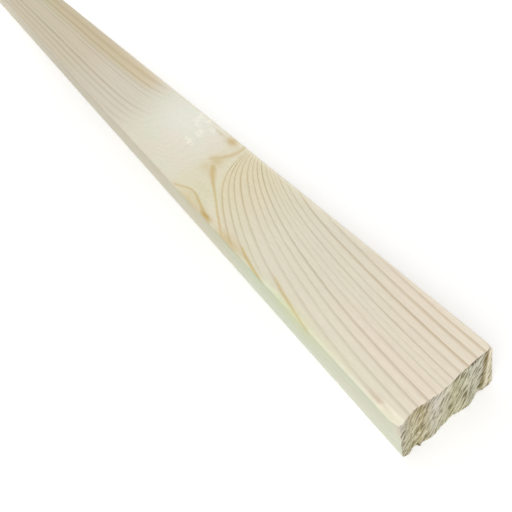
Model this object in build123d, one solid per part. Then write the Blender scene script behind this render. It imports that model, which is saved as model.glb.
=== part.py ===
from build123d import *
import os
from math import sqrt

# Planed softwood plank: one piece of stock, lying flat.
# X runs along the grain towards the weathered saw cut, Y across the width, Z up.
# The origin is the middle of the underside. All lengths are in millimetres.

# Planed stock
plank_length = 1000.0
plank_width = 44.0
plank_thickness = 24.0
arris_radius = 1.0

# Hand saw cut at the +X end, which wandered: the most that it lies behind the plank's end, and its
# share of that at places across the width, along the top face and along the underside
saw_set_back = 2.9
saw_place_shares = (0.0, 0.06, 0.13, 0.2, 0.3, 0.42, 0.52, 0.7, 0.84, 0.94, 1.0)
saw_top_shares = (0.38, 0.38, 0.55, 0.69, 0.59, 0.40, 0.45, 0.78, 0.90, 0.90, 1.0)
saw_underside_shares = (0.21, 0.12, 0.41, 0.21, 0.0, 0.28, 0.48, 0.19, 0.75, 0.66, 0.66)
saw_overrun = 2.0

# Splinter torn off the top arris at -Y, running out through the saw cut
tear_length = 12.4
tear_run_in = 3.4
tear_width = 2.7
tear_depth = 1.5
tear_start_share = 0.08

# Long shallow tear further back on the same arris, a hollow facet
hollow_length = 46.0
hollow_depth = 1.1
hollow_from_cut = 68.0
hollow_span_share = 4

# Bruised corners at the +Y side of the saw cut: how far each leg reaches
top_bruise_along = 3.4
top_bruise_across = 1.8
top_bruise_drop = 1.5
low_bruise_along = 0.8
low_bruise_across = 1.2
low_bruise_rise = 1.2

# Fibres broken out where the saw left the underside: the deepest bite, and at which of the saw's
# places across the width the edge lost what share of it
breakout_radius = 4.0
breakout_bite = 0.5
breakout_bite_shares = {0.13: 0.8, 0.42: 0.3, 0.52: 0.8, 0.84: 1.0}

# Corners that the cuts are measured from
cut_end_x = plank_length / 2
left_y = -plank_width / 2
right_y = plank_width / 2


def sawn_and_planed_stock():
    """The planed section with its eased arrises, extruded from the plain end to past the saw cut."""
    section_centre = (-plank_length / 2, 0, plank_thickness / 2)
    section_plane = Plane(origin=section_centre, x_dir=(0, 1, 0), z_dir=(1, 0, 0))
    section = section_plane * RectangleRounded(plank_width, plank_thickness, arris_radius)
    return extrude(section, amount=plank_length + saw_overrun)


def cut_x(place, z):
    """Where the saw cut lies along X at one of its listed places, for a height in the section."""
    underside_share = saw_underside_shares[place]
    lean_share = saw_top_shares[place] - underside_share
    return cut_end_x - saw_set_back * (underside_share + lean_share * z / plank_thickness)


def offcut_outline(z):
    """The offcut at one height: the saw's path in front, and straight lines clear of the stock."""
    path = [(cut_x(place, z), left_y + plank_width * share) for place, share in enumerate(saw_place_shares)]
    first = (cut_x(0, z), left_y - saw_overrun)
    last = (cut_x(-1, z), right_y + saw_overrun)
    clear_x = cut_end_x + saw_overrun + saw_overrun
    saw_path = Spline(first, *path, last)
    beyond = Polyline(last, (clear_x, right_y + saw_overrun), (clear_x, left_y - saw_overrun), first)
    return Pos(0, 0, z) * make_face(saw_path.edges() + beyond.edges())


def offcut():
    """What the saw took off, from below the underside to above the top face."""
    return loft([offcut_outline(-saw_overrun), offcut_outline(plank_thickness + saw_overrun)], ruled=True)


def tear_section(distance_from_cut, size_share):
    """A triangle over the torn arris whose long side is the torn face, run past both planed faces."""
    width = tear_width * size_share
    depth = tear_depth * size_share
    plane = Plane(origin=(cut_end_x - distance_from_cut, 0, 0), x_dir=(0, 1, 0), z_dir=(1, 0, 0))
    inner = (left_y + width + width, plank_thickness + depth)
    lower = (left_y - width, plank_thickness - depth - depth)
    outer = (left_y - width, plank_thickness + depth)
    return plane * make_face(Polyline(inner, outer, lower, close=True))


def torn_splinter():
    """The splinter that came away: it runs in over a short length, then keeps its size to the cut."""
    start = tear_section(tear_length, tear_start_share)
    full = tear_section(tear_length - tear_run_in, 1)
    past_cut = tear_section(-tear_run_in, 1)
    return loft([start, full, past_cut], ruled=True)


def hollow_facet():
    """A large cylinder laid across the arris: it leaves a long lens-shaped hollow."""
    radius = (hollow_length**2 / 4 + hollow_depth**2) / (2 * hollow_depth)
    outward = (radius - hollow_depth) / sqrt(2)
    centre = (cut_end_x - hollow_from_cut, left_y - outward, plank_thickness + outward)
    across_arris = Plane(origin=centre, x_dir=(1, 0, 0), z_dir=(0, 1, 1))
    return across_arris * Cylinder(radius, hollow_span_share * hollow_depth)


def bruise(plank, z, legs):
    """Flatten a corner at the saw's last place by the plane through the ends of its three legs."""
    along, across, upward = legs
    corner_x = cut_x(-1, z)
    flat = Plane(origin=(corner_x - along, right_y, z), z_dir=(1 / along, 1 / across, 1 / upward))
    return split(plank, bisect_by=flat, keep=Keep.BOTTOM)


def breakout(place_share, bite_share):
    """A ball that bites the lower edge of the saw cut, as deep as the fibres broke."""
    edge_x = cut_x(saw_place_shares.index(place_share), 0)
    outward = (breakout_radius - breakout_bite * bite_share) / sqrt(2)
    return Pos(edge_x + outward, left_y + plank_width * place_share, -outward) * Sphere(breakout_radius)


plank = sawn_and_planed_stock() - offcut()
plank -= torn_splinter()
plank -= hollow_facet()
plank = bruise(plank, plank_thickness, (top_bruise_along, top_bruise_across, top_bruise_drop))
plank = bruise(plank, 0, (low_bruise_along, low_bruise_across, -low_bruise_rise))
for place_share, bite_share in breakout_bite_shares.items():
    plank -= breakout(place_share, bite_share)
plank.label = "plank"

os.makedirs("parts", exist_ok=True)
export_step(plank, "parts/plank.step")
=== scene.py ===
# %% [markdown]
# A planed pine plank: one length of softwood, planed on four faces and cut off with a coarse saw.
# Nothing is assembled, so this lesson is about one mesh and its two finishes, the planed faces
# and the sawn end grain. The mesh is worked out in millimetres, with the middle of the underside
# at zero, and brought to metres when it is finished.

# %% Load the frame
import math

import bmesh
import bpy
from mathutils import Matrix, Vector, noise


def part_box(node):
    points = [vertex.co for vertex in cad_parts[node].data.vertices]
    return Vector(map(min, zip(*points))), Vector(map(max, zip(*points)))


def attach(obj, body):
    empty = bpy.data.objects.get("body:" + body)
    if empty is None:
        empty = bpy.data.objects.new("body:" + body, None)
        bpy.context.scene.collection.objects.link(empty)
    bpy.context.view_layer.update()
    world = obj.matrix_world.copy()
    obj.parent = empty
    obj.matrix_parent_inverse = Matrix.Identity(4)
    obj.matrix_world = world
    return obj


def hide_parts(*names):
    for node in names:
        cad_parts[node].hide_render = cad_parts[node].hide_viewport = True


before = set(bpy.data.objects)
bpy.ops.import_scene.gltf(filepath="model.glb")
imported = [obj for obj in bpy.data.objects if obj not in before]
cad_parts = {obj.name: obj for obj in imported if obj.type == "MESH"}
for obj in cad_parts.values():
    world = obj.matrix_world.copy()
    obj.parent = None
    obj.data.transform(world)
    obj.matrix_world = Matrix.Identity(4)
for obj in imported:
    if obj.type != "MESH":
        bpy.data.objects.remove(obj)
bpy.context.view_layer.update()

# In metres, which Blender and the frame work in.
MM = 0.001
low_corner, high_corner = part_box("plank")
length, width, thickness = [
    round((high - low) / MM, 1) for low, high in zip(low_corner, high_corner)
]
cut_x = length / 2
foremost_x = high_corner[0] / MM
left_y = -width / 2
right_y = width / 2
print("stock in mm:", length, width, thickness)

# %% [markdown]
# The blank. A plain box would have one quad for each face, too few to carry the torn edges and
# the rough end. Here a fine grid is drawn for the sawn section and extruded along the grain, so
# both ends keep the grid. Loops are then added along the length, close together where there is
# something to shape or a grain line bends, and far apart on the plain stretch.

# %% Draw the section and extrude it
section_cell = 0.5
section_columns = round(width / section_cell)
section_rows = round(thickness / section_cell)
# Turns the grid's own x and y into the plank's y and z.
section_to_yz = Matrix(((0, 0, 1), (1, 0, 0), (0, 1, 0))).to_4x4()

plank = bmesh.new()
bmesh.ops.create_grid(plank, x_segments=section_columns, y_segments=section_rows, size=0.5)
bmesh.ops.scale(plank, vec=(width, thickness, 1), verts=plank.verts)
bmesh.ops.transform(plank, matrix=section_to_yz, verts=plank.verts)
bmesh.ops.translate(plank, vec=(-cut_x, 0, thickness / 2), verts=plank.verts)
extruded = bmesh.ops.extrude_face_region(plank, geom=plank.faces[:])["geom"]
new_end = [part for part in extruded if isinstance(part, bmesh.types.BMVert)]
bmesh.ops.translate(plank, vec=(length, 0, 0), verts=new_end)
bmesh.ops.recalc_face_normals(plank, faces=plank.faces)
open_edges = sum(edge.is_boundary for edge in plank.edges)
print("section grid:", section_columns, "by", section_rows, "open edges:", open_edges)

# %% Add loops along the length, zone by zone
# Each zone: where it ends, measured back from the saw cut, and the spacing of its loops.
loop_zones = ((16, 0.5), (110, 2.0), (290, 1.4), (length, 12))

for zone_end, _ in loop_zones[:-1]:
    everything = plank.verts[:] + plank.edges[:] + plank.faces[:]
    zone_plane = (cut_x - zone_end, 0, 0)
    bmesh.ops.bisect_plane(plank, geom=everything, plane_co=zone_plane, plane_no=(1, 0, 0))

zone_start = 0
for zone_end, spacing in loop_zones:
    zone_middle = cut_x - (zone_start + zone_end) / 2
    crossing = [
        edge for edge in plank.edges
        if min(v.co.x for v in edge.verts) < zone_middle < max(v.co.x for v in edge.verts)
    ]
    loops = round((zone_end - zone_start) / spacing) - 1
    bmesh.ops.subdivide_edges(plank, edges=crossing, cuts=loops)
    zone_start = zone_end
print("faces with the loops:", len(plank.faces))

# %% Halve the cells of the saw cut, and tell the sawn faces from the planed ones
PLANED, SAWN = 0, 1
# A face belongs to an end where its normal lies nearly along the grain.
along_grain = 0.9

plank.normal_update()
inside_cut = [
    edge for edge in plank.edges if all(face.normal.x > along_grain for face in edge.link_faces)
]
bmesh.ops.subdivide_edges(plank, edges=inside_cut, cuts=1, use_grid_fill=True)
plank.normal_update()

# Numbers that each point will carry for the finishes. New layers move the points in memory, so
# they are made before any point is kept in a set.
mark_names = (
    "torn pit fleck ring ink rust tint stain pale glint tan honey edge worn sheen swirl lime plain "
    "smear span low slow dim"
).split()
marks = {name: plank.verts.layers.float.new(name) for name in mark_names}


def mark(vert, **values):
    """Keep numbers on a point for the finishes to read."""
    for name, value in values.items():
        vert[marks[name]] = value


for face in plank.faces:
    face.material_index = SAWN if abs(face.normal.x) > along_grain else PLANED
cut_verts = {v for face in plank.faces if face.normal.x > along_grain for v in face.verts}
plain_end_verts = {v for face in plank.faces if face.normal.x < -along_grain for v in face.verts}
triangles = sum(len(face.verts) - 2 for face in plank.faces)
print("blank:", len(plank.verts), "vertices,", triangles, "triangles")

# %% [markdown]
# Shaping. Wear on timber is easiest to make as a carver would: each blow is a function that
# takes a point of the surface and, if it lies outside the new surface, moves it there. The
# arrises are eased by the planer, the saw wandered as it went through, a splinter tore off one
# arris, and two corners took knocks.

# %% Ease the arrises
arris_radius, arris_unevenness, arris_wave = 1.0, 0.35, 28.0
# Places far apart in the noise, so that no two of the four arrises are alike.
apart_across, apart_up = 3, 5


def rise(start, end, value):
    """0 at start, 1 at end, and a soft turn between them."""
    share = min(max((value - start) / (end - start), 0.0), 1.0)
    return share * share * (3 - 2 * share)


def ease_arris(point):
    """Pull a point in a corner of the section onto the arris's uneven round."""
    corner = Vector((
        point.x / arris_wave,
        math.copysign(apart_across, point.y),
        math.copysign(apart_up, point.z - thickness / 2),
    ))
    radius = arris_radius * (1 - arris_unevenness * (0.5 + noise.noise(corner)))
    inner_y = min(max(point.y, left_y + radius), right_y - radius)
    inner_z = min(max(point.z, radius), thickness - radius)
    out = Vector((0, point.y - inner_y, point.z - inner_z))
    if out.length > radius:
        out *= radius / out.length
    return Vector((point.x, inner_y + out.y, inner_z + out.z))


# %% Let the saw wander
# The most that the cut lies behind the plank's end, and its share of that at places across the
# width: the place as a share of the width, then the share at the top face and at the underside.
saw_set_back = 2.9
saw_wander = (
    (0.0, 0.38, 0.21), (0.06, 0.38, 0.12), (0.13, 0.55, 0.41), (0.2, 0.69, 0.21),
    (0.3, 0.59, 0.0), (0.42, 0.4, 0.28), (0.52, 0.45, 0.48), (0.7, 0.78, 0.19),
    (0.84, 0.9, 0.75), (0.94, 0.9, 0.66), (1.0, 1.0, 0.66),
)
sheared_length = loop_zones[0][0]


def cut_back_at(y, z):
    """How far the saw cut lies behind the plank's end."""
    across = min(max((y - left_y) / width, 0.0), 1.0)
    upward = z / thickness
    for (start, *before), (end, *after) in zip(saw_wander, saw_wander[1:]):
        if across <= end:
            turn = rise(start, end, across)
            top, underside = [a + (b - a) * turn for a, b in zip(before, after)]
            return saw_set_back * (underside + (top - underside) * upward)


def follow_saw(point):
    """Shear the last stretch so that its end lies on the saw's wandering cut."""
    share = 1 - (cut_x - point.x) / sheared_length
    return point - Vector((share * cut_back_at(point.y, point.z), 0, 0)) if share > 0 else point


# %% Tear a splinter off the top arris, and hollow the same arris further back
tear_length, tear_run_in, tear_step = 12.4, 3.4, 0.9
tear_width, tear_depth = 2.7, 1.5
hollow_from_cut, hollow_length, hollow_depth = 68.0, 46.0, 1.1
fibre_pitch, fibre_length, fibre_relief = 0.5, 14.0, 0.16


def press_onto(point, on_plane, normal):
    """Move a point that lies outside a plane straight back onto it."""
    outside = (point - on_plane).dot(normal)
    return point - normal * max(0.0, outside)


def torn_fibres(point):
    """Height of the torn fibres: noise drawn out along the grain."""
    drawn = Vector((point.x / fibre_length, point.y / fibre_pitch, point.z / fibre_pitch))
    return fibre_relief * noise.noise(drawn)


def tear_splinter(point):
    """The torn face runs in over a short length, then keeps its size through to the cut."""
    stepped = tear_step * noise.noise(Vector((0, point.y, point.z)))
    share = min(max((tear_length + stepped - (cut_x - point.x)) / tear_run_in, 0.0), 1.0)
    normal = Vector((0, -tear_depth, tear_width)).normalized()
    inner_edge = Vector((point.x, left_y + tear_width * share, thickness))
    inner_edge -= normal * (torn_fibres(point) + fibre_relief) * share
    return press_onto(point, inner_edge, normal) if share > 0 else point


def hollow_arris(point):
    """A long shallow hollow, deepest in its middle."""
    from_middle = (cut_x - point.x - hollow_from_cut) / (hollow_length / 2)
    depth = hollow_depth * (1 - from_middle**2)
    normal = Vector((0, -1, 1)).normalized()
    bed = Vector((point.x, left_y, thickness)) - normal * (depth + torn_fibres(point))
    return press_onto(point, bed, normal) if depth > 0 else point


# %% Bruise two corners and break out the lower edge
top_bruise = Vector((3.4, 1.8, 1.5))
low_bruise = Vector((0.8, 1.2, -1.2))
breakout_radius, breakout_bite = 4.0, 0.5
worn_length, worn_width, worn_depth = 7.0, 6.0, 1.2
# Where fibres broke out along the lower edge, as shares of the width, and how deep.
breakouts = ((0.13, 0.8), (0.42, 0.3), (0.52, 0.8), (0.84, 1.0))


def wear_left_edge(point):
    """Round the left edge of the cut, most at the top where the splinter came away."""
    along = rise(worn_length, 0, cut_x - point.x)
    upward = rise(0, thickness, point.z)
    across = rise(worn_width, 0, point.y - left_y)
    return point + Vector((0, worn_depth * along * upward * across, 0))


def bruise_corners(point):
    """Flatten the two right corners of the cut."""
    for legs, z in ((top_bruise, thickness), (low_bruise, 0.0)):
        corner = Vector((cut_x - cut_back_at(right_y, z), right_y, z))
        normal = Vector((1 / legs.x, 1 / legs.y, 1 / legs.z)).normalized()
        point = press_onto(point, corner - Vector((legs.x, 0, 0)), normal)
    return point


def break_out(point):
    """Push points out of a row of balls that bite the lower edge of the cut."""
    for place_share, bite_share in breakouts:
        y = left_y + width * place_share
        outward = (breakout_radius - breakout_bite * bite_share) / math.sqrt(2)
        centre = Vector((cut_x - cut_back_at(y, 0) + outward, y, -outward))
        away = point - centre
        if away.length < breakout_radius:
            point = centre + away * (breakout_radius / away.length)
    return point


# %% Carve the blank, and keep how far each point was torn
tears = (tear_splinter, hollow_arris)
knocks = (wear_left_edge, bruise_corners, break_out)
bare_wood_depth = 0.35

for vert in plank.verts:
    point = follow_saw(ease_arris(vert.co))
    before = point.copy()
    for tear in tears:
        point = tear(point)
    mark(vert, torn=min(1.0, (point - before).length / bare_wood_depth))
    for knock in knocks:
        point = knock(point)
    vert.co = point
print("points torn bare:", sum(vert[marks["torn"]] == 1.0 for vert in plank.verts))

# %% [markdown]
# The sawn end. Coarse teeth drag the fibres sideways and tear some of them out, so the end is
# covered with short pits that lean the way the saw was pushed, and a few broken fibres stand
# between them. A texture could fake that, but the cut's edge is seen against the floor, so the
# pits are real relief, made by pushing the end's points back along the grain, and each point
# keeps its pit's depth for the finish to darken as painted shade.

# %% Lay a leaning net of torn strokes
stroke_lean = math.radians(35)
across_strokes = Vector((0, math.cos(stroke_lean), -math.sin(stroke_lean)))
along_strokes = Vector((0, math.sin(stroke_lean), math.cos(stroke_lean)))
groove_width, groove_length, groove_seed = 0.62, 5.0, 7
groove_pit, groove_pit_from, groove_fleck, groove_fleck_from = 0.6, (0.0, 0.45), 0.4, (0.1, 0.5)
cell_across, cell_along, cell_jitter, cell_seed = 1.5, 3.4, 0.6, 3
stroke_half_width, narrowest, width_luck = 0.36, 0.7, 0.6
stroke_half_length, shortest = 2.3, 0.5
# A cell holds a standing fibre if its luck is below this share, and a pit otherwise.
standing_share, standing_height, shallowest_pit = 0.32, 0.7, 0.45


def torn_strokes(point):
    """How much of a pit and of a standing fibre a point has: grooves all over, and a leaning net."""
    across, along = point.dot(across_strokes), point.dot(along_strokes)
    groove = noise.noise(Vector((across / groove_width, along / groove_length, groove_seed)))
    pit = groove_pit * rise(*groove_pit_from, groove)
    fleck = groove_fleck * rise(*groove_fleck_from, -groove)
    column, row = math.floor(across / cell_across), math.floor(along / cell_along)
    for near_column in (column - 1, column, column + 1):
        for near_row in (row - 1, row, row + 1):
            luck = noise.cell_vector(Vector((near_column, near_row, cell_seed)))
            off_across = across - (near_column + 0.5 + cell_jitter * (luck.x - 0.5)) * cell_across
            off_along = along - (near_row + 0.5 + cell_jitter * (luck.y - 0.5)) * cell_along
            half_width = stroke_half_width * (narrowest + width_luck * luck.z)
            half_length = stroke_half_length * (shortest + luck.x)
            stroke = max(0.0, 1 - (off_across / half_width) ** 2 - (off_along / half_length) ** 2)
            if luck.z > standing_share:
                pit = max(pit, stroke * (shallowest_pit + (1 - shallowest_pit) * luck.y))
            else:
                fleck = max(fleck, standing_height * stroke)
    return pit, fleck


# %% Say where the end is dirty, broken away, splintered or pale
# Dirt in the pits, by shares of the width: the middle, its reach, and how much more there is.
grime_places = ((0.28, 0.13, -0.25), (0.8, 0.12, 0.4))
cleaner_at, cleaner_by = (0.9, 0.95), 0.35
# Patches of the end: mm across and down to the middle, half the width and height, and how square.
# Fibres broke away behind the top edge, and the saw left a splinter standing at the lower one.
# Both are painted dark as well, as painted shade under the edge and on the splinter.
undercut, undercut_lip = (35.6, 0.9, 4.6, 1.1, 2), 0.5
splinter_left = (7.4, thickness - 0.3, 0.7, 0.7, 4)
# Broken fibres that show their pale inside.
bright_fibres = ((42.6, 16.5, 0.8, 0.8, 2), (39.8, 22.0, 0.7, 0.7, 2), (8.6, 16.0, 0.9, 0.9, 2))


def hill(value, middle, reach):
    """1 at the middle, falling away softly to 0 on both sides."""
    return math.exp(-(((value - middle) / reach) ** 2))


def grime_at(point):
    """How much grime the pits took up: least at the far right, most beside that."""
    share = (point.y - left_y) / width
    grime = 1 + sum(more * hill(share, middle, reach) for middle, reach, more in grime_places)
    return grime * (1 - cleaner_by * rise(*cleaner_at, share))


def in_patch(point, across, down, half_width, half_height, power):
    """1 in the middle of a patch of the end, 0 at its rim and beyond."""
    off_across = abs(point.y - left_y - across) / half_width
    off_down = abs(thickness - point.z - down) / half_height
    return max(0.0, 1 - off_across**power - off_down**power)


# %% Push the torn fibres of both ends in or out
pit_depth, fleck_height, undercut_depth, splinter_length = 0.6, 0.2, 0.9, 0.8
plain_end_share, relief_reach = 0.4, 3.0
rough_height, rough_per_mm = 0.12, 1.7
# The planed faces held the outermost fibres, so the relief is calmer at the edges of the cut.
calm_reach, calm_share = 1.4, 0.45
# A painted shadow line runs just under the top arris.
arris_shadow, arris_shadow_reach = 0.3, 0.6

for vert in plank.verts:
    from_cut = cut_x - cut_back_at(vert.co.y, vert.co.z) - vert.co.x
    felt = 1.0 if vert in cut_verts else max(0.0, 1 - max(from_cut, 0.0) / relief_reach)
    if vert in plain_end_verts:
        pit, fleck = [plain_end_share * part for part in torn_strokes(vert.co)]
        vert.co.x += pit_depth * pit
    elif felt > 0:
        pit, fleck = torn_strokes(vert.co)
        undercut_and_shade = in_patch(vert.co, *undercut) * rise(0, undercut_lip, thickness - vert.co.z)
        splinter = in_patch(vert.co, *splinter_left)
        fleck = max(fleck, *[in_patch(vert.co, *fibre) for fibre in bright_fibres])
        rough = rough_height * noise.noise(vert.co * rough_per_mm)
        from_edge = min(right_y - abs(vert.co.y), thickness - vert.co.z, vert.co.z)
        calm = calm_share + (1 - calm_share) * rise(0, calm_reach, from_edge)
        back_by = calm * (pit_depth * pit - fleck_height * fleck + rough) + undercut_depth * undercut_and_shade
        vert.co.x = min(vert.co.x - felt * (back_by - splinter_length * splinter), foremost_x)
        arris_shadow_line = arris_shadow * hill(thickness - vert.co.z, 0, arris_shadow_reach)
        # The pit mark carries painted shade: the pits, the undercut, the splinter and the line under the
        # top arris are all painted dark.
        pit = max(pit * grime_at(vert.co), undercut_and_shade, splinter, arris_shadow_line)
    else:
        continue
    mark(vert, pit=pit, fleck=fleck)
print("points of the two ends:", len(cut_verts) + len(plain_end_verts))

# %% [markdown]
# The grain. A tree lays its rings down as sheets, so what shows on any face is where that face
# cuts the sheets. One function gives the ring number at any point of the plank, and every face
# takes its lines from it: the sheets stand nearly upright here, so they are fine lines along the
# top, bands on the end, and hardly show on the edges. A branch once left the trunk by the right
# arris. The sheets climb towards it, so the lines sweep to that arris, stop at a honey-coloured
# line, and leave a pale patch bare. A wave texture could draw even lines, but not such a sweep,
# so the numbers are worked out for each point and kept on the mesh.

# %% Say where the rings are
# Each ring's dark edge on the top face at the cut, in mm from the left arris, how dark it is,
# and how far its colour goes from grey-brown to rust.
rings = (
    (-60, 0, 0), (-38, 0.1, 0), (-31, 0.14, 0), (-25, 0.1, 0), (-19, 0, 0),
    (-15.2, 0.42, 0.4), (-11.3, 0.38, 0.4), (-7.9, 0.38, 0.4), (-3.4, 0.5, 0.4), (2.2, 0.38, 0.3),
    (6.5, 0.36, 0.1), (10.5, 0.5, 0.2), (14.6, 0.68, 0.3), (18.4, 0.38, 0.2), (21.2, 0.33, 0.1),
    (23.4, 0.2, 0.1), (25.9, 0.6, 0.2), (29.4, 0.4, 0.1), (33.2, 0.74, 0.6), (37.6, 0.5, 0.5),
    (41.3, 0.52, 0.7), (45.6, 0.7, 0.3), (50, 0.9, 0.3), (53.1, 0.6, 0.3),
)
ring_slant = math.radians(7)
ring_wander, wander_along, wander_across, wander_down = 0.3, 45.0, 30.0, 60.0


def from_corner(point):
    """How far a point lies back from the cut, in from the left arris and down from the top."""
    return cut_x - point.x, point.y - left_y, thickness - point.z


def ring_at(place):
    """Ring number, whole at each dark edge, and that ring's darkness and rust."""
    for number, ((start, *_), (end, ink, rust)) in enumerate(zip(rings, rings[1:])):
        if place < end or number == len(rings) - 2:
            return number + (place - start) / (end - start), ink, rust


print("rings listed:", len(rings))

# %% Let the rings climb towards the branch
branch_from_cut, branch_reach_down = 174.0, 14.0
climb_at, climb, climb_power, last_climb = 120.0, 16.5, 1.94, 1.12
climb_stops_before, climb_settles = 2.0, 12.0
# Beyond the branch the climb is the most where that stretch starts, and more on the right.
far_climb, far_climb_slope, far_climb_at, far_climb_settles = 5.4, 0.11, 247.0, 24.0
far_climb_starts, far_climb_lead = (165, 200), 40.0
# The sheets on the right climb later than those on the left, and catch up by the branch.
most_lag, lag_rings, lag_fades, lag_rounds = 0.52, (-10.0, 37.7), (72.0, 260.0), 8
# Beyond the branch the outermost rings are wider.
outer_rings_from, outer_gain, outer_gain_starts = 33.2, 0.24, (240, 290)


def near_climb_at(back):
    """How far the leftmost ring sheets have climbed to the right before the branch."""
    last = branch_from_cut - climb_stops_before
    reached = min(max(back, 0.0), last)
    climbed = climb * (reached / climb_at) ** climb_power
    climbed += last_climb * (1 / (1 - reached / branch_from_cut) - 1)
    return climbed * math.exp(-max(back - last, 0.0) / climb_settles)


def far_climb_of(back, across):
    """The same climb beyond the branch, where it dies away along the plank."""
    settled = math.exp(-max(back - far_climb_at, -far_climb_lead) / far_climb_settles)
    most = far_climb + far_climb_slope * across
    return most * settled * rise(*far_climb_starts, back)


def ring_place(point):
    """Where a point's ring sheet would meet the top face at the cut, in mm from the left arris."""
    back, across, down = from_corner(point)
    shallow = math.exp(-max(down, 0) / branch_reach_down)
    wander_to = Vector((point.x / wander_along, point.y / wander_across, point.z / wander_down))
    level = across + down * math.tan(ring_slant) + ring_wander * noise.noise(wander_to)
    level -= shallow * far_climb_of(back, across)
    climbed = shallow * near_climb_at(back)
    lagging = most_lag * (1 - rise(*lag_fades, back))
    place = level - climbed
    # The lag depends on the sheet that is sought, so the place is found in a few rounds.
    for _ in range(lag_rounds):
        place = level - climbed * (1 - lagging * rise(*lag_rings, place))
    widened = outer_gain * rise(*outer_gain_starts, back)
    return place - widened * max(0.0, place - outer_rings_from)


corners = [from_corner(vert.co) for vert in plank.verts]
places = [ring_place(vert.co) for vert in plank.verts]
print("ring places in mm: from", round(min(places), 1), "to", round(max(places), 1))

# %% Say how the wood changes along the plank
# Each pair is where a change starts and where it is complete: mm back from the cut, mm in from
# the left arris, or the places of rings at the cut.
branch_passed, bend_sets_in = (176, 190), (90, 165)
patch_ends, patch_slant, patch_slants_from, patch_depth = (238, 284), 0.5, 22, 15.0
bare_rings, bare_share = (-16.6, -19.5), 0.6
tan_sets_in, tan_rings = (258, 300), (26.5, 33)
tan_fades, tan_edge, tan_fades_by = (310, 350), (40, 43), 0.4
edge_starts = (width / 2 - 1.2, width / 2 - 0.2)


def before_branch(back):
    """1 between the cut and the branch, 0 beyond it."""
    return 1 - rise(*branch_passed, back)


def bend_at(back):
    """1 where the lines sweep to the branch, 0 elsewhere."""
    return rise(*bend_sets_in, back) * before_branch(back)


def past_patch(back, across):
    """The distance back from the cut, less on the right, where the patch reaches further."""
    return back - patch_slant * max(0.0, across - patch_slants_from)


def pale_at(here, place):
    """1 on the patch beyond the branch and part of that on the bare rings, 0 elsewhere."""
    back, across, down = here
    bare = rise(*bare_rings, place) * before_branch(back)
    patch = (1 - before_branch(back)) * (1 - rise(*patch_ends, past_patch(back, across)))
    return bare_share * bare + patch * hill(down, 0, patch_depth)


def tan_at(back, across, place):
    """1 on the tanned rings at the far right, less beside the arris, 0 elsewhere."""
    tan = rise(*tan_sets_in, back) * rise(*tan_rings, place)
    return tan * (1 - tan_fades_by * rise(*tan_edge, across) * rise(*tan_fades, back))


def edge_at(across):
    """1 on the two edges of the plank, 0 on its broad faces."""
    return rise(*edge_starts, abs(across - width / 2))


# %% Ink the ring lines
lines_return, faintest = (234, 264), 0.12
uneven_run, uneven_apart, uneven_least, uneven_by = 34, 2.7, 0.9, 0.3
# What a line loses or gains of its darkness in each kind of place.
middle_sets_in, middle_rings, middle_power, lost_in_middle = (250, 300), (14.8, 26.5), 3, 0.8
lost_on_edge, lost_in_tan = 0.9, 0.3
near_cut, near_cut_gain, lost_from_cut = (20, 60), 1.15, 0.25
bend_gain, bend_right, lost_at_right = 0.65, (28, 42), 0.6
last_rings, last_across, last_gain = (-8, -12), (24, 31), 1.1
# The share of a year's growth after which its wood darkens.
slow_from, slow_in_bend, slow_far, slow_sets_in = 0.54, 0.05, 0.14, (240, 300)

for vert, (back, across, _), place in zip(plank.verts, corners, places):
    ring, ink, rust = ring_at(place)
    uneven = noise.noise(Vector((back / uneven_run, math.floor(ring) * uneven_apart, 0)))
    off_middle = abs(rise(*middle_rings, place) * 2 - 1) ** middle_power
    by_branch = rise(*last_rings, place) * rise(*last_across, across)
    shown = max(before_branch(back), rise(*lines_return, past_patch(back, across)), faintest)
    shown *= 1 - lost_in_middle * rise(*middle_sets_in, back) * (1 - off_middle)
    shown *= 1 - lost_on_edge * edge_at(across)
    shown *= near_cut_gain - lost_from_cut * rise(*near_cut, back)
    shown *= 1 - lost_in_tan * tan_at(back, across, place)
    shown *= 1 + bend_gain * bend_at(back) * (1 - lost_at_right * rise(*bend_right, across))
    shown *= 1 + last_gain * by_branch * before_branch(back)
    slow = slow_from + slow_in_bend * bend_at(back) - slow_far * rise(*slow_sets_in, back)
    mark(vert, ring=ring, rust=rust, ink=ink * (uneven_least + uneven_by * uneven) * shown, slow=slow)
print("darkest ink:", round(max(vert[marks["ink"]] for vert in plank.verts), 2))

# %% Draw resin lines and spots
# Stained lines on the top face: mm back from the cut, mm from the left arris, half width.
honey_line = (
    (121, 0, 0.5), (130, 3.7, 0.4), (139, 7.4, 0.4), (147, 11.1, 0.45), (155, 14.5, 0.6),
    (160.3, 16.7, 0.9), (166.1, 19.6, 1.35), (169, 21.5, 1.4), (171.3, 23.2, 1.1),
)
fan_line = (
    (178.5, 24.8, 0.5), (177.5, 26.8, 0.7), (174, 29.4, 0.85), (171.2, 34, 0.7), (170, 38, 0.55),
    (170.2, 41.2, 0.5), (171, 44, 0.45),
)
first_streak = ((52.5, 0, 0.3), (60.7, 1.0, 0.5), (66, 1.8, 0.6), (74.7, 3.4, 0.65), (83, 5.3, 0.3))
second_streak = ((87, 0, 0.4), (95, 0.8, 0.7), (102, 2.1, 0.7), (109, 3.9, 0.3))
lens_rim = (
    (135.2, 0.1, 0.4), (141, 1.4, 0.9), (147, 2.8, 0.9), (153, 4.1, 0.8), (157, 5, 0.7),
    (160.5, 5.5, 0.6), (164, 5.4, 0.5), (167, 4.5, 0.45), (171, 2.8, 0.4), (176, 0.8, 0.4),
)
# Each line with how strongly it shows.
stained_lines = (
    (honey_line, 0.68), (fan_line, 0.56), (first_streak, 0.54), (second_streak, 0.76), (lens_rim, 0.72),
)
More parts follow.
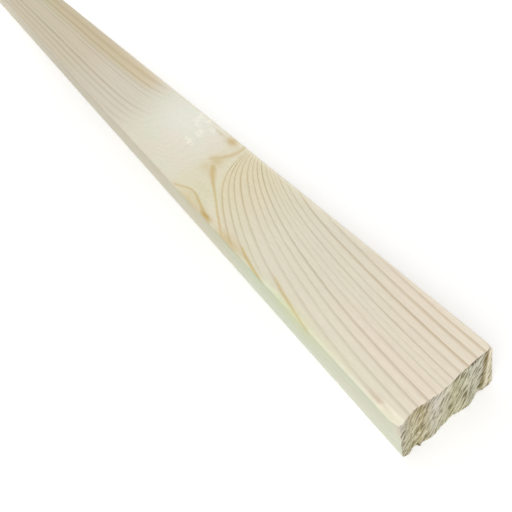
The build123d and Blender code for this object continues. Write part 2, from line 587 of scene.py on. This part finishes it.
# Stained spots, with the pin knot and its streak last: the middle and the reach, both along,
# across and down, and how strongly the spot shows.
stained_spots = (
    ((116, 0.6, 0), (13, 3, 3), 0.52),
    ((140.5, 1.3, 0), (6, 1.3, 3), 1),
    ((156, 0.6, 0), (14, 1, 3), 0.5),
    ((157, 2.4, 0), (13, 2.8, 3), 0.3),
    ((157, 10, 0), (14, 5, 4), 0.1),
    ((173.5, 20.4, 0), (5.5, 3.6, 4), 0.3),
    ((173.6, 26.6, 0), (5.4, 3.8, 4), 0.5),
    ((181.3, 41, 0), (5.2, 2.5, 4), 0.72),
    ((194, 40.6, 0), (6.5, 0.7, 1.5), 0.45),
)
# A stain creeps further along the fibres than across them, and only a little way in.
stain_creep, stain_depth = 2.6, 3.0
stains_from, stains_to, stains_down_to = 40, 215, 3 * stain_depth


def near_spot(here, centre, reach):
    """1 at a spot's centre, falling away to 0. All three are along, across and down."""
    away = [(at - middle) / far for at, middle, far in zip(here, centre, reach)]
    return math.exp(-sum(part * part for part in away))


def near_line(back, across, line):
    """1 on a stained line, falling away to 0 beside it."""
    here = Vector((back / stain_creep, across))
    nearest = 0.0
    for (start_back, start_across, start_half), (end_back, end_across, end_half) in zip(line, line[1:]):
        start = Vector((start_back / stain_creep, start_across))
        run = Vector((end_back / stain_creep, end_across)) - start
        share = min(max((here - start).dot(run) / run.length_squared, 0.0), 1.0)
        half = start_half + (end_half - start_half) * share
        nearest = max(nearest, hill((here - start - run * share).length, 0, half))
    return nearest


def stain_at(here):
    """Resin stains: the line before the branch, its fan, two streaks, a lens and the spots."""
    back, across, down = here
    if not stains_from < back < stains_to or down > stains_down_to:
        return 0.0
    on_line = max(strength * near_line(back, across, line) for line, strength in stained_lines)
    on_spot = max(strength * near_spot(here, at, reach) for at, reach, strength in stained_spots)
    return max(on_line * hill(down, 0, stain_depth), on_spot)


for vert, here in zip(plank.verts, corners):
    mark(vert, stain=stain_at(here))
print("stained points:", sum(vert[marks["stain"]] > 0.1 for vert in plank.verts))

# %% Leave the patch pale, with painted glints, a painted sheen and faint arcs
# Painted glints, where raised grain catches the light: mm back from the cut and mm from the left arris.
glint_spots = (
    (222, 42), (220, 41), (218, 40.2), (219, 37), (214, 35.6), (204, 31.5), (201, 38.7),
    (205.5, 24.8), (202, 24), (206.6, 33.6), (211, 41.5),
)
glint_reach, glint_strength = (2.8, 1.3, 3), 1.7
# A painted sheen: a broad lighter spot over the right of the patch, painted in as a highlight.
painted_sheen_spot = ((226, 36, 0), (38, 22, 4))
# The patch cuts its rings at a slant, so they show as faint arcs that lag along the left arris.
arc_lag, arc_reach, arc_pitch = 45.0, 8.0, 7.5
arc_wave_along, arc_wave_across, arc_seed = 24, 9, 2

for vert, here, place in zip(plank.verts, corners, places):
    back, across, _ = here
    glints = sum(glint_strength * near_spot(here, (*at, 0), glint_reach) for at in glint_spots)
    wave = noise.noise(Vector((back / arc_wave_along, across / arc_wave_across, arc_seed)))
    swirl = (back - arc_lag * math.exp(-across / arc_reach)) / arc_pitch + wave
    mark(vert, pale=pale_at(here, place), glint=min(1.0, glints), swirl=swirl)
    mark(vert, sheen=near_spot(here, *painted_sheen_spot))
print("specks of raised grain:", len(glint_spots))

# %% Vary the colour of the wood, and paint shade on the far stretch
# Where the wood leans to green (above 0) or to pink: the place, its reach, and how far.
tint_spots = (
    ((28, 2, 0), (24, 5, 6), 0.9),
    ((152, 10, 0), (14, 7, 9), 1.2), ((236, 36, 0), (20, 16, 9), 0.4),
    ((188, 33, 0), (9, 8, 9), -1), ((212, 14, 0), (16, 9, 9), -0.7),
)
pinkest, tint_step = 0.25, 0.4
green_sets_in, green_fades, green_fades_by = (25, 80), (240, 300), 0.6
ring_luck, ring_luck_run, ring_luck_seed = 0.45, 160, 5
cloud_along, cloud_across = 14, 8
far_honey, far_honey_from = 0.6, (290, 430)
# Parts of the plank that are a little darker or lighter than the rest. The far stretch is darkened
# as painted shade, where the light falls away along the plank.
painted_far_shade, painted_far_shade_from, bend_lighter, bend_lighter_from = 0.055, (290, 400), 0.013, (80, 100)
lens_dim, lens_spot = 0.11, ((141, 1.3, 0), (7, 1.8, 3))
corner_lighter, corner_across, corner_back = 0.03, (30, 42), (70, 20)

for vert, here, place in zip(plank.verts, corners, places):
    back, across, down = here
    ring, pale = vert[marks["ring"]], vert[marks["pale"]]
    by_ring = noise.noise(Vector((ring * ring_luck, back / ring_luck_run, ring_luck_seed)))
    by_cloud = noise.noise(Vector((back / cloud_along, across / cloud_across, down / cloud_across)))
    by_place = sum(lean * near_spot(here, at, reach) for at, reach, lean in tint_spots)
    greener = rise(*green_sets_in, back) - green_fades_by * rise(*green_fades, back)
    tint = pinkest + tint_step * (greener + by_ring + (by_cloud - by_ring) * pale + by_place)
    honey = bend_at(back) + far_honey * rise(*far_honey_from, back)
    dim = 1 - painted_far_shade * rise(*painted_far_shade_from, back) - lens_dim * near_spot(here, *lens_spot)
    dim += bend_lighter * rise(*bend_lighter_from, back) * before_branch(back)
    dim += corner_lighter * rise(*corner_across, across) * rise(*corner_back, back)
    mark(vert, tint=tint, tan=tan_at(back, across, place), honey=honey, dim=dim)
print("places that lean to green or pink:", len(tint_spots))

# %% Mark the painted arris highlights and the two edges
# How far the painted highlight reaches in from the right and the left arris, how much further, and where.
highlight_reaches = ((1.1, 0.9, (55, 95)), (0.7, 0.4, (60, 40)))
highlight_strength, right_highlight_down, lip_highlight_reach = 0.8, 0.35, 0.4
# A lime cast on the left edge and its arris, and a painted shadow by the splinter: middle and reach.
lime_edge, lime_arris, lime_arris_share = ((62, 0, 3), (20, 3, 8)), ((42, 1.0, 0), (13, 2.2, 3)), 0.4
splinter_shadow_spot = ((12.5, 1.9, 0), (5, 1.0, 2))
# The left edge by the cut has its own colour, and the rest of both edges a plain one.
plain_from, plain_across = (85, 160), (width / 2 - 2, width / 2 + 2)

for vert, here in zip(plank.verts, corners):
    back, across, down = here
    # Both arrises get a painted highlight, a pale line along them.
    right_reach, left_reach = [least + more * rise(*where, back) for least, more, where in highlight_reaches]
    on_right = hill(math.hypot(width - across, right_highlight_down * down), 0, right_reach)
    on_left = hill(math.hypot(across, down), 0, left_reach)
    # A painted highlight also runs along the lip of the torn face.
    lip_highlight = hill(across, tear_width, lip_highlight_reach) * math.exp(-down)
    lip_highlight *= rise(tear_length, tear_length - tear_run_in, back)
    lime = max(near_spot(here, *lime_edge), lime_arris_share * near_spot(here, *lime_arris))
    plain = max(rise(*plain_from, back), rise(*plain_across, across))
    mark(vert, worn=highlight_strength * max(on_right, on_left, lip_highlight), lime=lime, plain=plain)
    # The smear mark is a painted shadow where the tear starts.
    mark(vert, smear=near_spot(here, *splinter_shadow_spot), edge=edge_at(across))
    mark(vert, span=(across + down * math.tan(ring_slant)) / width, low=down / thickness)
print("marks on each point:", len(marks))

# %% Make the mesh an object that stands for the frame's plank
bmesh.ops.scale(plank, vec=(MM,) * 3, verts=plank.verts)
bmesh.ops.recalc_face_normals(plank, faces=plank.faces)
for face in plank.faces:
    face.smooth = face.material_index == PLANED
mesh = bpy.data.meshes.new("pine_plank")
plank.to_mesh(mesh)
plank.free()
pine_plank = bpy.data.objects.new("pine_plank", mesh)
bpy.context.scene.collection.objects.link(pine_plank)
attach(pine_plank, "root")
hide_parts("plank")
print("pine_plank:", len(mesh.polygons), "faces")

# %% [markdown]
# Finishes are built from nodes. One function turns the colours, written as sRGB hex, to the
# linear values that nodes work in, and one adds a node with its settings and links. Patterns are
# laid out in the object's own coordinates, which are metres, so 1000 over a size in millimetres
# is the scale that gives that size.

# %% Helpers for the finishes
def linear(hex_colour):
    """An sRGB hex colour as linear red, green, blue and alpha."""
    channels = [int(hex_colour[i:i + 2], 16) / 255 for i in (1, 3, 5)]
    return [c / 12.92 if c <= 0.04045 else ((c + 0.055) / 1.055) ** 2.4 for c in channels] + [1.0]


def feed(tree, node, feeds):
    """Set a node's inputs, or link them to other nodes' outputs."""
    for socket, value in feeds.items():
        if isinstance(value, bpy.types.NodeSocket):
            tree.links.new(value, node.inputs[socket])
        else:
            node.inputs[socket].default_value = value


def add(tree, kind, feeds=None, output=0, **settings):
    """Add a shader node with its properties and inputs, and give one of its outputs."""
    made = tree.nodes.new("ShaderNode" + kind)
    for name, value in settings.items():
        setattr(made, name, value)
    feed(tree, made, feeds or {})
    return made.outputs[output]


# For mixes of colours.
colours = {"data_type": "RGBA", "output": 2}


def new_finish(name, read_marks=()):
    """A new material, its node tree, its shader, its coordinates and the marks that it reads."""
    finish = bpy.data.materials.new(name)
    finish.use_nodes = True
    tree = finish.node_tree
    coordinates = add(tree, "TexCoord", output="Object")
    read = {name: add(tree, "Attribute", output="Fac", attribute_name=name) for name in read_marks}
    return finish, tree, tree.nodes["Principled BSDF"], coordinates, read


# %% [markdown]
# Planed pine. To the eye it is a pale, satin surface with fine lines: pale spring wood turns
# slowly to darker summer wood and stops sharply where the next year began, so each ring number's
# fraction is a slow ramp with a steep end. Fibres too fine to model run along the grain as
# stretched noise, in the colour and as a slight bump, and the planer's knives leave faint
# ripples across it.

# %% Planed pine: noise drawn out along the grain
# Planed softwood is a dull satin: light spreads widely, with a weak sheen along the fibres. Real
# fibres are a few hundredths of a millimetre wide, so these are drawn coarser to show at all.
planed_marks = [name for name in mark_names if name not in ("pit", "fleck", "span")]
planed_pine, tree, shader, coordinates, read = new_finish("planed_pine", planed_marks)
# Each noise: its width and its run along the grain in mm, its detail and its roughness.
drawn_noise = {
    "fibres": (0.45, 26.0, 3.0, 0.6), "bands": (2.4, 40.0, 2.0, 0.5), "mottle": (1.0, 3.2, 2.0, 0.5),
}
drawn = {}
for name, (across_mm, along_mm, detail, roughness) in drawn_noise.items():
    stretch = (1000 / along_mm, 1000 / across_mm, 1000 / across_mm)
    stretched = add(tree, "Mapping", {"Vector": coordinates, "Scale": stretch})
    drawn[name] = add(tree, "TexNoise", {
        "Vector": stretched, "Scale": 1.0, "Detail": detail, "Roughness": roughness})
fibres = drawn["fibres"]
print("noise drawn out along the grain:", list(drawn))

# %% Planed pine: rings
# The fibres make a ring's line waver. Its wood darkens over a third of a year, then stops.
waver_by, darkening = 0.14, 0.35
waver = add(tree, "Math", {0: fibres, 1: waver_by, 2: -waver_by / 2}, operation="MULTIPLY_ADD")
wavering = add(tree, "Math", {0: read["ring"], 1: waver}, operation="ADD")
year = add(tree, "Math", {0: wavering}, operation="FRACT")
darkest = add(tree, "Math", {0: read["slow"], 1: darkening}, operation="ADD")
slow_rise = add(tree, "MapRange", {
    "Value": year, "From Min": read["slow"], "From Max": darkest},
    interpolation_type="SMOOTHSTEP")
steep_end = add(tree, "MapRange", {
    "Value": year, "From Min": darkest, "From Max": 1.0, "To Min": 1.0, "To Max": 0.0})
line = add(tree, "Math", {0: slow_rise, 1: steep_end}, operation="MULTIPLY")
summer = add(tree, "Math", {0: line, 1: read["ink"]}, operation="MULTIPLY")

# %% Planed pine: spring wood and summer wood
tan_in_spring, browning = 0.6, 0.85
spring_wood = add(tree, "Mix", {0: read["honey"], 6: linear("#E7DFCF"), 7: linear("#EBDEC0")}, **colours)
ripening = add(tree, "MapRange", {"Value": year, "To Min": tan_in_spring, "To Max": 1.0})
tanned = add(tree, "Math", {0: ripening, 1: read["tan"]}, operation="MULTIPLY")
spring_wood = add(tree, "Mix", {0: tanned, 6: spring_wood, 7: linear("#E0D0AA")}, **colours)
summer_wood = add(tree, "Mix", {0: read["rust"], 6: linear("#BAB29C"), 7: linear("#BFA27C")}, **colours)
browned = add(tree, "Math", {0: read["honey"], 1: browning}, operation="MULTIPLY")
summer_wood = add(tree, "Mix", {0: browned, 6: summer_wood, 7: linear("#B09656")}, **colours)
wood = add(tree, "Mix", {0: summer, 6: spring_wood, 7: summer_wood}, **colours)

# %% Planed pine: the patch, the edges and the torn wood
arc_from, arc_strength = 0.4, 0.16
arc = add(tree, "Math", {0: read["swirl"], 1: waver}, operation="ADD")
arc = add(tree, "Math", {0: arc}, operation="FRACT")
arc = add(tree, "MapRange", {"Value": arc, "From Min": arc_from, "From Max": 1.0, "To Max": arc_strength})
patch_wood = add(tree, "Mix", {0: arc, 6: linear("#EDE7D7"), 7: linear("#CDC3AE")}, **colours)

# The edges are banded, and lighter towards the underside.
band_from, band_to = 0.4, 1.4
band = add(tree, "Math", {0: drawn["bands"], 1: read["low"]}, operation="ADD")
band = add(tree, "MapRange", {"Value": band, "From Min": band_from, "From Max": band_to})
green_edge = add(tree, "Mix", {0: band, 6: linear("#D3D9BF"), 7: linear("#E7ECDB")}, **colours)
plain_edge = add(tree, "Mix", {0: band, 6: linear("#D9D0B8"), 7: linear("#E8E2D0")}, **colours)
edge_wood = add(tree, "Mix", {0: read["plain"], 6: green_edge, 7: plain_edge}, **colours)
torn_wood = add(tree, "Mix", {0: read["torn"], 6: linear("#FDF8E9"), 7: linear("#ECE9D6")}, **colours)

# %% Planed pine: what lies over the rings
# Each layer: the mark that carries it, its colour, and how much of it shows.
# The sheen and the arris highlight are painted highlights, and the smear is a painted shadow.
overlays = (
    ("pale", patch_wood, 0.9), ("sheen", linear("#FAF7F0"), 0.8), ("edge", edge_wood, 0.9),
    ("worn", linear("#FBF3E4"), 0.85), ("torn", torn_wood, 0.85), ("lime", linear("#DEE2BA"), 0.75),
    ("smear", linear("#CBB29C"), 0.4), ("stain", linear("#CEAE60"), 1.0),
)
for layer, colour, strength in overlays:
    amount = add(tree, "Math", {0: read[layer], 1: strength}, operation="MULTIPLY")
    wood = add(tree, "Mix", {0: amount, 6: wood, 7: colour}, **colours)

# All of it leans a little to pink or to green.
blush = add(tree, "Mix", {0: read["tint"], 6: linear("#FFF9F5"), 7: linear("#F8FDF5")}, **colours)
wood = add(tree, "Mix", {0: 1.0, 6: wood, 7: blush}, blend_type="MULTIPLY", **colours)
print("layers over the rings:", [layer for layer, _, _ in overlays])

# %% Planed pine: streaks and mottling
# Noise mostly keeps to this range.
noise_span = {"From Min": 0.3, "From Max": 0.7}
streak_dark, streak_light, calmer_on_patch = 0.94, 1.025, 0.045
mottle_dark, mottle_light = 0.97, 1.02
streak_low = add(tree, "Math", {
    0: read["pale"], 1: calmer_on_patch, 2: streak_dark}, operation="MULTIPLY_ADD")
streak = add(tree, "MapRange", {
    "Value": fibres, **noise_span, "To Min": streak_low, "To Max": streak_light})
mottle = add(tree, "MapRange", {
    "Value": drawn["mottle"], **noise_span, "To Min": mottle_dark, "To Max": mottle_light})
# The dim mark darkens the far stretch as painted shade, and makes a few places a little darker or
# lighter.
for factor in (mottle, read["dim"]):
    streak = add(tree, "Math", {0: streak, 1: factor}, operation="MULTIPLY")
wood = add(tree, "VectorMath", {0: wood, "Scale": streak}, operation="SCALE")

# %% Planed pine: painted glints, where raised grain beside the branch catches the light
# The flakes are painted highlight: near-white where the glint mark is.
flake_mm, flake_from, flake_to = 2.4, 0.42, 0.58
flakes = add(tree, "TexNoise", {"Vector": coordinates, "Scale": 1000 / flake_mm, "Detail": 2.0})
flakes = add(tree, "MapRange", {"Value": flakes, "From Min": flake_from, "From Max": flake_to})
glint = add(tree, "Math", {0: flakes, 1: read["glint"]}, operation="MULTIPLY")
wood = add(tree, "Mix", {0: glint, 6: wood, 7: linear("#FFFBEA")}, **colours)

# %% Planed pine: sheen and relief
glossiest, dullest = 0.48, 0.62
gloss = add(tree, "MapRange", {"Value": fibres, **noise_span, "To Min": glossiest, "To Max": dullest})
# The knives' ripples are 1.6 mm apart. A wave at scale one is a tenth of pi long.
ripple_mm, ripple_share, wave_length = 1.6, 0.3, math.pi / 10
ripple = add(tree, "TexWave", {
    "Vector": coordinates, "Scale": 1000 * wave_length / ripple_mm, "Distortion": 1.0}, output="Fac")
relief = add(tree, "Math", {0: ripple, 1: ripple_share, 2: fibres}, operation="MULTIPLY_ADD")
relief = add(tree, "Math", {0: summer, 1: relief}, operation="ADD")
planed_bump, planed_relief = 0.5, 0.05 * MM
bump = add(tree, "Bump", {"Height": relief, "Strength": planed_bump, "Distance": planed_relief})
feed(tree, shader, {"Base Color": wood, "Roughness": gloss, "Normal": bump})
feed(tree, shader, {"IOR": 1.45, "Specular IOR Level": 0.35})
mesh.materials.append(planed_pine)
print("planed_pine:", len(tree.nodes), "nodes")

# %% [markdown]
# Sawn end grain. The ends of the cut fibres drink in light, so the end is darker and duller than
# the planed faces. The torn pits are painted darker again, as painted shade in their hollows. Each
# year's wood took up dirt and resin in its own way, so a row of tones follows the rings across the
# end. A colour ramp over the place across the end is the plainest way to set such a row.

# %% Sawn pine end grain: tones across the end
# Rough sawn fibre ends have no sheen: a matt, mealy brown with dark pits and pale broken fibres.
sawn_marks = ("span", "low", "ring", "ink", "pit", "fleck")
sawn_pine, tree, shader, coordinates, read = new_finish("sawn_pine_end_grain", sawn_marks)
# Tones across the end, as shares of the width.
end_tones = (
    (0.02, "#CCC5BC"), (0.12, "#C9C0A6"), (0.25, "#B9AB81"), (0.38, "#DBD4C9"), (0.6, "#CAC6A4"),
    (0.82, "#D6D4C4"), (0.912, "#D0CCBA"), (0.933, "#78632E"), (0.955, "#7B6529"), (0.977, "#F2E7CE"),
)
smear_mm, smear_by, green_below = 5.0, 0.02, 0.45
smear = add(tree, "TexNoise", {"Vector": coordinates, "Scale": 1000 / smear_mm, "Detail": 3.0})
smear = add(tree, "MapRange", {"Value": smear, "To Min": -smear_by, "To Max": smear_by})
across_end = add(tree, "Math", {0: read["span"], 1: smear}, operation="ADD")
tones = add(tree, "ValToRGB", {0: across_end})
# A new ramp has two stops of its own, which make way for these.
stops = tones.node.color_ramp.elements
stops.remove(stops[1])
for share, colour in end_tones:
    stops.new(share).color = linear(colour)
stops.remove(stops[0])
greener = add(tree, "Math", {0: read["low"], 1: green_below}, operation="MULTIPLY")
wood = add(tree, "Mix", {0: greener, 6: tones, 7: linear("#C6C49A")}, **colours)
print("tones across the end:", len(stops))

# %% Sawn pine end grain: rings, pits painted dark as shade, and grit
summer_from, summer_to, summer_strength = 0.6, 0.95, 0.3
pit_from, pit_to, pit_strength = 0.05, 0.55, 0.9
grit_mm, grit_dark, grit_light = 0.35, 0.9, 1.08
end_year = add(tree, "Math", {0: read["ring"]}, operation="FRACT")
band = add(tree, "MapRange", {
    "Value": end_year, "From Min": summer_from, "From Max": summer_to, "To Max": summer_strength},
    interpolation_type="SMOOTHSTEP")
band = add(tree, "Math", {0: band, 1: read["ink"]}, operation="MULTIPLY")
# The pits are painted dark here as painted shade, together with the painted shadows that the pit mark
# carries.
shade = add(tree, "MapRange", {
    "Value": read["pit"], "From Min": pit_from, "From Max": pit_to, "To Max": pit_strength})
for amount, colour in ((band, "#A08F64"), (shade, "#6A5F42"), (read["fleck"], "#EEE8D2")):
    wood = add(tree, "Mix", {0: amount, 6: wood, 7: linear(colour)}, **colours)
grit = add(tree, "TexNoise", {"Vector": coordinates, "Scale": 1000 / grit_mm, "Detail": 3.0})
speckle = add(tree, "MapRange", {"Value": grit, **noise_span, "To Min": grit_dark, "To Max": grit_light})
wood = add(tree, "VectorMath", {0: wood, "Scale": speckle}, operation="SCALE")
sawn_bump, sawn_relief = 0.6, 0.15 * MM
bump = add(tree, "Bump", {"Height": grit, "Strength": sawn_bump, "Distance": sawn_relief})
feed(tree, shader, {"Base Color": wood, "Normal": bump, "Roughness": 0.85, "Specular IOR Level": 0.25})
mesh.materials.append(sawn_pine)
print("sawn_pine_end_grain:", len(tree.nodes), "nodes")

# %% [markdown]
# The studio: a white floor that still takes the plank's shadow. The main soft light stands above
# the near left corner, so that the far stretch falls away a little. Two weaker ones reach the
# middle and the far end, and low strips fill the faces that are turned away from all of them.

# %% Floor
floor_half_width = 12
# A hair below the underside, so that the two faces don't fight for one plane.
floor_drop = 0.05 * MM
floor_mesh = bpy.data.meshes.new("studio_floor")
floor_shape = bmesh.new()
bmesh.ops.create_grid(floor_shape, x_segments=1, y_segments=1, size=floor_half_width)
bmesh.ops.translate(floor_shape, vec=(0, 0, -floor_drop), verts=floor_shape.verts)
floor_shape.to_mesh(floor_mesh)
floor_shape.free()
studio_floor = bpy.data.objects.new("studio_floor", floor_mesh)
bpy.context.scene.collection.objects.link(studio_floor)
print("studio_floor:", len(floor_mesh.polygons), "face")

# %% White floor paint
# Matt emulsion: even and without a sheen. The lights fade with distance, so what the camera sees
# of it is lifted little by the plank, where its shadow is, and more further out.
floor_paint, tree, shader, coordinates, _ = new_finish("white_floor_paint")
feed(tree, shader, {"Base Color": linear("#F2F2F2"), "Roughness": 0.9, "Specular IOR Level": 0.0})
brightest = (0.55, -0.1, 0)
lift_from, lift_to, least_lift, most_lift = 0.15, 0.9, 0.18, 0.57


def seen_rays(tree):
    """1 for the rays that show the background as it is: camera, glossy and transmission rays."""
    rays = add(tree, "LightPath").node.outputs
    seen = rays["Is Camera Ray"]
    for kind in ("Is Glossy Ray", "Is Transmission Ray"):
        seen = add(tree, "Math", {0: seen, 1: rays[kind]}, operation="MAXIMUM")
    return seen


away = add(tree, "VectorMath", {0: coordinates, 1: brightest}, operation="DISTANCE", output="Value")
lift = add(tree, "MapRange", {
    "Value": away, "From Min": lift_from, "From Max": lift_to,
    "To Min": least_lift, "To Max": most_lift})
lift = add(tree, "Math", {0: seen_rays(tree), 1: lift}, operation="MULTIPLY")
glow = add(tree, "Emission", {"Strength": lift})
both = add(tree, "AddShader", {0: shader.outputs[0], 1: glow})
feed(tree, tree.nodes["Material Output"], {"Surface": both})
floor_mesh.materials.append(floor_paint)

# %% World
sky_level = 0.5
world = bpy.data.worlds.new("studio_world")
bpy.context.scene.world = world
world.use_nodes = True
tree = world.node_tree
level = add(tree, "MapRange", {"Value": seen_rays(tree), "To Min": sky_level, "To Max": 1.0})
feed(tree, tree.nodes["Background"], {"Strength": level, "Color": (1, 1, 1, 1)})
print("studio_world: lights the plank at", sky_level)

# %% Lights
softbox = 450
half_way_up = thickness / 2
# Each light: its name, place and aim, its width and height, and its power in watts.
studio_lights = (
    ("near_softbox", (cut_x + 220, -230, 500), (cut_x - 60, 0, thickness), softbox, softbox, 2.05),
    ("middle_softbox", (cut_x - 200, 60, 620), (cut_x - 200, 0, thickness), softbox, softbox, 0.27),
    ("far_softbox", (-480, 220, 520), (-460, 0, thickness), softbox, softbox, 0.8),
    ("right_strip", (-60, 300, 30), (-60, 0, half_way_up), 1000, 40, 0.3),
    ("left_strip", (-270, -250, 25), (-270, 0, half_way_up), 460, 30, 0.17),
    ("end_strip", (-cut_x - 300, 0, 30), (-cut_x, 0, half_way_up), 200, 40, 0.22),
)
for name, place_mm, aim_mm, wide_mm, tall_mm, watts in studio_lights:
    lamp = bpy.data.lights.new(name, "AREA")
    lamp.shape = "RECTANGLE"
    lamp.size = wide_mm * MM
    lamp.size_y = tall_mm * MM
    lamp.energy = watts
    light = bpy.data.objects.new(name, lamp)
    light.location = Vector(place_mm) * MM
    light.rotation_euler = (Vector(aim_mm) - Vector(place_mm)).to_track_quat("-Z", "Y").to_euler()
    bpy.context.scene.collection.objects.link(light)
print("lights:", [name for name, *_ in studio_lights])

# %% [markdown]
# The camera stands close to the cut end and looks down the plank with its head tilted, so the
# plank runs from the lower right to the upper left and out of the picture.

# %% Camera
beyond_cut, left_of_arris, above_top = 66.7, 41.8, 176.1
aim_back_from_cut, aim_right_of_arris = 98.8, 5.7
head_tilt = math.radians(-21.89)
sensor_width_mm, focal_length_mm, nearest_seen_mm = 36.0, 39.15, 10

camera_place = Vector((cut_x + beyond_cut, left_y - left_of_arris, thickness + above_top))
camera_aim = Vector((cut_x - aim_back_from_cut, left_y + aim_right_of_arris, thickness))
lens = bpy.data.cameras.new("photo_camera")
lens.sensor_width = sensor_width_mm
lens.lens = focal_length_mm
lens.clip_start = nearest_seen_mm * MM
camera = bpy.data.objects.new("photo_camera", lens)
facing = (camera_aim - camera_place).to_track_quat("-Z", "Y").to_matrix().to_4x4()
camera.matrix_world = (
    Matrix.Translation(camera_place * MM) @ facing @ Matrix.Rotation(head_tilt, 4, "Z")
)
bpy.context.scene.collection.objects.link(camera)
bpy.context.scene.camera = camera
bpy.context.scene.view_settings.view_transform = "Standard"
print("camera to aim in mm:", round((camera_aim - camera_place).length))
